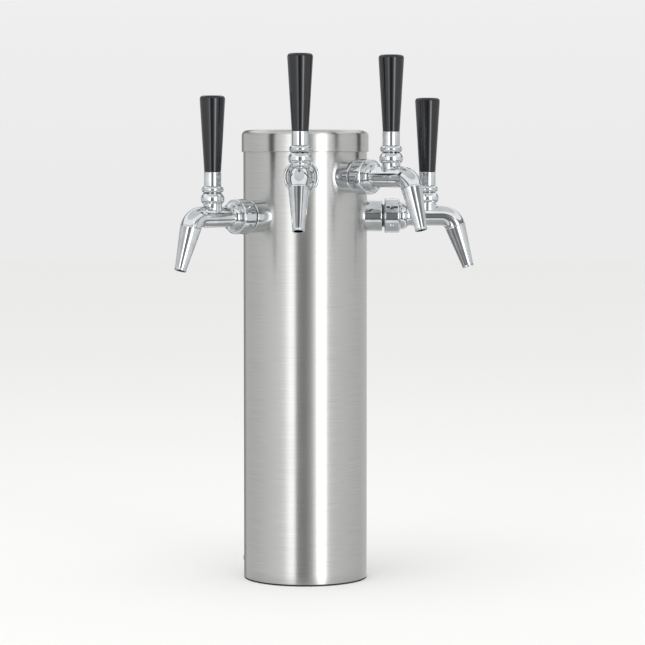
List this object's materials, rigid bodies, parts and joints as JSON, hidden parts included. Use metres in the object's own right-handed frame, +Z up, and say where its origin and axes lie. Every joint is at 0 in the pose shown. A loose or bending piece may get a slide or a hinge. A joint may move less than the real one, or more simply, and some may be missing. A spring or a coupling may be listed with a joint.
{
  "type": "beer tap tower",
  "caption": "Straight stainless column tower with pull-lever beer taps at staggered heights, black tapered handles and beer lines inside that end at its open base.",
  "frame": {"origin": "centre of the column's foot, on the surface that the tower stands on", "axes": "+Z up along the column, -Y towards the user whom the taps face, +X to that user's right"},
  "size_m": [0.2886, 0.204, 0.4807],
  "materials": {
    "brushed_stainless": "satin",
    "polished_stainless": "polished",
    "machined_stainless": "satin",
    "cast_collar": "matte",
    "black_handle": "gloss",
    "black_nylon": "matte",
    "seal_rubber": "matte",
    "insulating_foam": "matte"
  },
  "bodies": {
    "tower": {"column_tube": "brushed_stainless", "top_cap": "brushed_stainless", "cap_foam_plug": "insulating_foam", "insulation_sleeve": "insulating_foam", "mounting_collar": "cast_collar", "base_gasket": "seal_rubber", "collar_screws": "polished_stainless", "shank_flanges": "polished_stainless", "coupling_nuts": "polished_stainless", "coupling_washers": "seal_rubber", "spout_seals": "seal_rubber", "ball_washers": "black_nylon", "saddle_washers": "black_nylon", "lock_nuts": "machined_stainless", "shank_outer_left": "machined_stainless", "beer_line_outer_left": "machined_stainless", "faucet_body_outer_left": "polished_stainless", "spout_outer_left": "polished_stainless", "bonnet_outer_left": "polished_stainless", "shank_inner_left": "machined_stainless", "beer_line_inner_left": "machined_stainless", "faucet_body_inner_left": "polished_stainless", "spout_inner_left": "polished_stainless", "bonnet_inner_left": "polished_stainless", "shank_inner_right": "machined_stainless", "beer_line_inner_right": "machined_stainless", "faucet_body_inner_right": "polished_stainless", "spout_inner_right": "polished_stainless", "bonnet_inner_right": "polished_stainless", "shank_outer_right": "machined_stainless", "beer_line_outer_right": "machined_stainless", "faucet_body_outer_right": "polished_stainless", "spout_outer_right": "polished_stainless", "bonnet_outer_right": "polished_stainless"},
    "lever_outer_left": {"lever_outer_left": "machined_stainless", "lever_collar_outer_left": "polished_stainless", "handle_ferrule_outer_left": "polished_stainless", "handle_outer_left": "black_handle"},
    "plunger_outer_left": {"plunger_outer_left": "machined_stainless", "seat_washer_outer_left": "seal_rubber"},
    "lever_inner_left": {"lever_inner_left": "machined_stainless", "lever_collar_inner_left": "polished_stainless", "handle_ferrule_inner_left": "polished_stainless", "handle_inner_left": "black_handle"},
    "plunger_inner_left": {"plunger_inner_left": "machined_stainless", "seat_washer_inner_left": "seal_rubber"},
    "lever_inner_right": {"lever_inner_right": "machined_stainless", "lever_collar_inner_right": "polished_stainless", "handle_ferrule_inner_right": "polished_stainless", "handle_inner_right": "black_handle"},
    "plunger_inner_right": {"plunger_inner_right": "machined_stainless", "seat_washer_inner_right": "seal_rubber"},
    "lever_outer_right": {"lever_outer_right": "machined_stainless", "lever_collar_outer_right": "polished_stainless", "handle_ferrule_outer_right": "polished_stainless", "handle_outer_right": "black_handle"},
    "plunger_outer_right": {"plunger_outer_right": "machined_stainless", "seat_washer_outer_right": "seal_rubber"}
  },
  "joints": [
    {"name": "pull_outer_left", "type": "hinge", "parent": "tower", "child": "lever_outer_left", "pos_m": [-0.10403, -0.04309, 0.35], "axis": [0.3827, -0.9239, 0], "range_deg": [0, 30]},
    {"name": "open_outer_left", "type": "slide", "parent": "tower", "child": "plunger_outer_left", "axis": [0.9239, 0.3827, 0], "range_m": [0, 0.00676]},
    {"name": "pull_inner_left", "type": "hinge", "parent": "tower", "child": "lever_inner_left", "pos_m": [-0.04309, -0.10403, 0.386], "axis": [0.9239, -0.3827, 0], "range_deg": [0, 30]},
    {"name": "open_inner_left", "type": "slide", "parent": "tower", "child": "plunger_inner_left", "axis": [0.3827, 0.9239, 0], "range_m": [0, 0.00676]},
    {"name": "pull_inner_right", "type": "hinge", "parent": "tower", "child": "lever_inner_right", "pos_m": [0.04309, -0.10403, 0.386], "axis": [0.9239, 0.3827, 0], "range_deg": [0, 30]},
    {"name": "open_inner_right", "type": "slide", "parent": "tower", "child": "plunger_inner_right", "axis": [-0.3827, 0.9239, 0], "range_m": [0, 0.00676]},
    {"name": "pull_outer_right", "type": "hinge", "parent": "tower", "child": "lever_outer_right", "pos_m": [0.10403, -0.04309, 0.35], "axis": [0.3827, 0.9239, 0], "range_deg": [0, 30]},
    {"name": "open_outer_right", "type": "slide", "parent": "tower", "child": "plunger_outer_right", "axis": [-0.9239, 0.3827, 0], "range_m": [0, 0.00676]}
  ],
  "couplings": [
    {"joint": "open_outer_left", "follows": "pull_outer_left", "m_per_rad": 0.012892},
    {"joint": "open_inner_left", "follows": "pull_inner_left", "m_per_rad": 0.012892},
    {"joint": "open_inner_right", "follows": "pull_inner_right", "m_per_rad": 0.012892},
    {"joint": "open_outer_right", "follows": "pull_outer_right", "m_per_rad": 0.012892}
  ]
}
